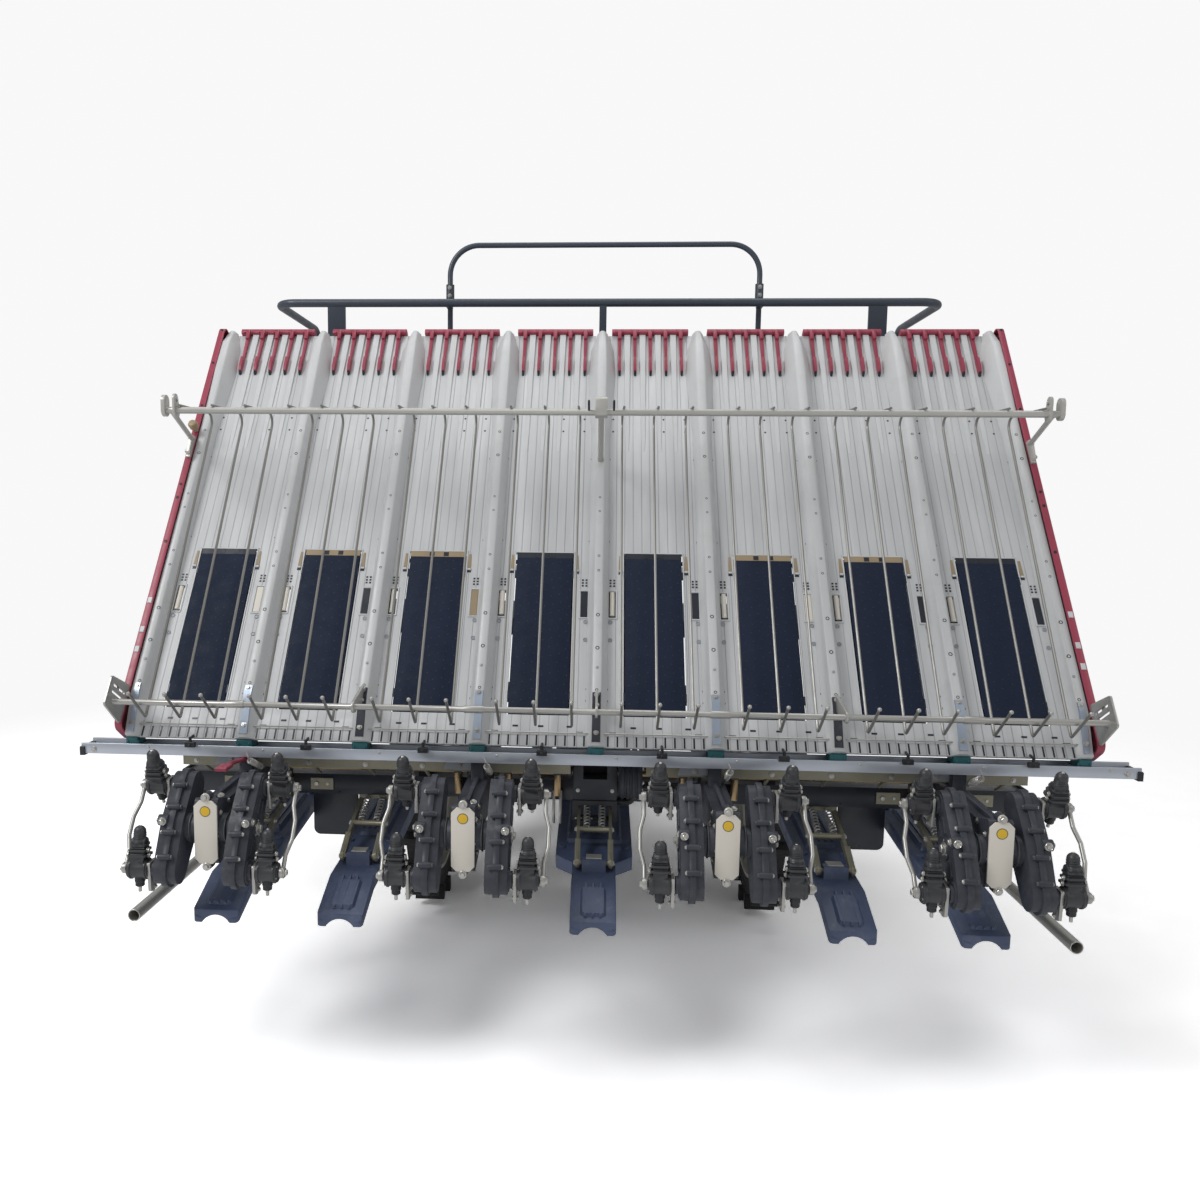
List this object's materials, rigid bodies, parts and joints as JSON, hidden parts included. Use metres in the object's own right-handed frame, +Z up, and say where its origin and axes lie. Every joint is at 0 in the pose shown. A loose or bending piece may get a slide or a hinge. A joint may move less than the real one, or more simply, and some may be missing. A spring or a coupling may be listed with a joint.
{
  "type": "riding rice transplanter",
  "caption": "Riding rice transplanter with a sloping seedling table, rotary planting units, floats, four wheels and a lifting planter.",
  "frame": {"origin": "centre of the bounding box at ground level, under the middle of the machine", "axes": "+Y forward along the machine, +X to its right, +Z up"},
  "size_m": [2.65, 3.3389, 2.286],
  "materials": {
    "aluminium": "extruded aluminium",
    "axle_grey": "cast axle cases",
    "belt_rubber": "navy feed belt rubber",
    "bright_steel": "bright steel",
    "bronze_steel": "brownish oiled shafts",
    "case_grey": "dark slate grey cast cases",
    "cream_plastic": "cream cover plates",
    "crimson_paint": "crimson bonnet paint",
    "crimson_plastic": "crimson moulded plastic, satin",
    "float_plastic": "blue-grey navy float plastic",
    "floor_plastic": "dark floor deck",
    "khaki_zinc": "zinc-plated brackets",
    "navy_black_paint": "navy-black frame paint",
    "painted_white_plastic": "light grey-white moulded plastic, satin",
    "rim_paint": "light rim paint",
    "seat_cover": "black seat cover",
    "teal_plastic": "teal wear plastic",
    "tyre_rubber": "black paddy tyre",
    "vehicle_grey": "dark grey chassis paint"
  },
  "bodies": {
    "chassis": {"chassis_frame": "vehicle_grey", "rear_axle_case": "axle_grey", "front_axle_case": "axle_grey", "engine_block": "axle_grey", "floor_deck": "floor_plastic", "rear_deck": "floor_plastic", "seat_base": "crimson_paint", "seat": "seat_cover", "steering_console": "floor_plastic", "front_bumper": "navy_black_paint", "guard_rail": "navy_black_paint", "rear_hoop": "navy_black_paint", "spare_rack_left": "painted_white_plastic", "spare_rack_right": "painted_white_plastic"},
    "bonnet": {"bonnet": "crimson_paint"},
    "steering_wheel": {"steering_wheel": "floor_plastic"},
    "knuckle_left": {"knuckle_left": "axle_grey"},
    "knuckle_right": {"knuckle_right": "axle_grey"},
    "front_wheel_left": {"front_rim_left": "rim_paint", "front_tyre_left": "tyre_rubber"},
    "front_wheel_right": {"front_rim_right": "rim_paint", "front_tyre_right": "tyre_rubber"},
    "rear_wheel_left": {"rear_rim_left": "rim_paint", "rear_tyre_left": "tyre_rubber"},
    "rear_wheel_right": {"rear_rim_right": "rim_paint", "rear_tyre_right": "tyre_rubber"},
    "lower_link": {"lower_link": "navy_black_paint"},
    "upper_link": {"upper_link": "navy_black_paint"},
    "lift_cylinder": {"lift_cylinder": "vehicle_grey"},
    "lift_rod": {"lift_rod": "bright_steel"},
    "planter": {"planter_frame": "navy_black_paint", "drive_cases": "case_grey", "case_covers": "cream_plastic", "slide_rail": "aluminium", "cross_shafts": "bronze_steel", "float_brackets": "khaki_zinc", "side_pipes": "bright_steel", "mud_panels": "float_plastic"},
    "seedling_table": {"table_panel": "painted_white_plastic", "row_dividers": "painted_white_plastic", "table_side_covers": "crimson_plastic", "top_guides": "crimson_plastic", "feed_belts": "belt_rubber", "slide_shoes": "teal_plastic", "retainer_bar": "bright_steel", "press_bar": "bright_steel", "retainer_rods": "bright_steel"},
    "rotors": {"rotary_cases": "case_grey", "rotor_bars": "bright_steel"},
    "arms_upper": {"planting_arms_upper": "case_grey", "planting_claws_upper": "bright_steel"},
    "arms_lower": {"planting_arms_lower": "case_grey", "planting_claws_lower": "bright_steel"},
    "float_center": {"float_center": "float_plastic"},
    "float_inner_left": {"float_inner_left": "float_plastic"},
    "float_inner_right": {"float_inner_right": "float_plastic"},
    "float_outer_left": {"float_outer_left": "float_plastic"},
    "float_outer_right": {"float_outer_right": "float_plastic"}
  },
  "joints": [
    {"name": "bonnet_hinge", "type": "hinge", "parent": "chassis", "child": "bonnet", "pos_m": [0, 1.016, 1.082], "axis": [1, 0, 0], "range_deg": [0, 55]},
    {"name": "steering_spin", "type": "hinge", "parent": "chassis", "child": "steering_wheel", "pos_m": [0, 0.64, 1.12], "axis": [0, -0.5299, 0.848], "range_deg": [-480, 480]},
    {"name": "steer_left", "type": "hinge", "parent": "chassis", "child": "knuckle_left", "pos_m": [-0.48, 0.834, 0.325], "axis": [0, 0, 1], "range_deg": [-40, 40]},
    {"name": "steer_right", "type": "hinge", "parent": "chassis", "child": "knuckle_right", "pos_m": [0.48, 0.834, 0.325], "axis": [0, 0, 1], "range_deg": [-40, 40]},
    {"name": "front_spin_left", "type": "hinge", "parent": "knuckle_left", "child": "front_wheel_left", "pos_m": [-0.6, 0.834, 0.325], "axis": [1, 0, 0], "continuous": true},
    {"name": "front_spin_right", "type": "hinge", "parent": "knuckle_right", "child": "front_wheel_right", "pos_m": [0.6, 0.834, 0.325], "axis": [1, 0, 0], "continuous": true},
    {"name": "rear_spin_left", "type": "hinge", "parent": "chassis", "child": "rear_wheel_left", "pos_m": [-0.57, -0.316, 0.475], "axis": [1, 0, 0], "continuous": true},
    {"name": "rear_spin_right", "type": "hinge", "parent": "chassis", "child": "rear_wheel_right", "pos_m": [0.57, -0.316, 0.475], "axis": [1, 0, 0], "continuous": true},
    {"name": "lift", "type": "hinge", "parent": "chassis", "child": "lower_link", "pos_m": [0, -0.446, 0.47], "axis": [1, 0, 0], "range_deg": [0, 30]},
    {"name": "upper_link_pivot", "type": "hinge", "parent": "chassis", "child": "upper_link", "pos_m": [0, -0.446, 0.7], "axis": [1, 0, 0], "range_deg": [0, 30]},
    {"name": "planter_level", "type": "hinge", "parent": "lower_link", "child": "planter", "pos_m": [0, -1.039, 0.651], "axis": [1, 0, 0], "range_deg": [-30, 0]},
    {"name": "cylinder_pivot", "type": "hinge", "parent": "chassis", "child": "lift_cylinder", "pos_m": [0, -0.12, 0.7], "axis": [1, 0, 0], "range_deg": [0, 12]},
    {"name": "rod_slide", "type": "slide", "parent": "lift_cylinder", "child": "lift_rod", "axis": [0, -0.9853, -0.1711], "range_m": [0, 0.073]},
    {"name": "table_slide", "type": "slide", "parent": "planter", "child": "seedling_table", "axis": [1, 0, 0], "range_m": [-0.14, 0.14]},
    {"name": "rotor_spin", "type": "hinge", "parent": "planter", "child": "rotors", "pos_m": [0, -1.57, 0.624], "axis": [1, 0, 0], "continuous": true},
    {"name": "arm_swing_upper", "type": "hinge", "parent": "rotors", "child": "arms_upper", "pos_m": [0, -1.5115, 0.70755], "axis": [1, 0, 0], "continuous": true},
    {"name": "arm_swing_lower", "type": "hinge", "parent": "rotors", "child": "arms_lower", "pos_m": [0, -1.6285, 0.54045], "axis": [1, 0, 0], "continuous": true},
    {"name": "float_center_pivot", "type": "hinge", "parent": "planter", "child": "float_center", "pos_m": [0, -1.366, 0.492], "axis": [1, 0, 0], "range_deg": [0, 8]},
    {"name": "float_inner_left_pivot", "type": "hinge", "parent": "planter", "child": "float_inner_left", "pos_m": [-0.6, -1.366, 0.492], "axis": [1, 0, 0], "range_deg": [0, 8]},
    {"name": "float_inner_right_pivot", "type": "hinge", "parent": "planter", "child": "float_inner_right", "pos_m": [0.6, -1.366, 0.492], "axis": [1, 0, 0], "range_deg": [0, 8]},
    {"name": "float_outer_left_pivot", "type": "hinge", "parent": "planter", "child": "float_outer_left", "pos_m": [-0.9, -1.366, 0.492], "axis": [1, 0, 0], "range_deg": [0, 8]},
    {"name": "float_outer_right_pivot", "type": "hinge", "parent": "planter", "child": "float_outer_right", "pos_m": [0.9, -1.366, 0.492], "axis": [1, 0, 0], "range_deg": [0, 8]}
  ],
  "couplings": [
    {"joint": "steer_right", "follows": "steer_left", "ratio": 1},
    {"joint": "steering_spin", "follows": "steer_left", "ratio": 12},
    {"joint": "upper_link_pivot", "follows": "lift", "ratio": 1},
    {"joint": "planter_level", "follows": "lift", "ratio": -1},
    {"joint": "cylinder_pivot", "follows": "lift", "ratio": 0.3567},
    {"joint": "rod_slide", "follows": "lift", "m_per_rad": 0.1369},
    {"joint": "arm_swing_upper", "follows": "rotor_spin", "ratio": -1},
    {"joint": "arm_swing_lower", "follows": "rotor_spin", "ratio": -1}
  ]
}
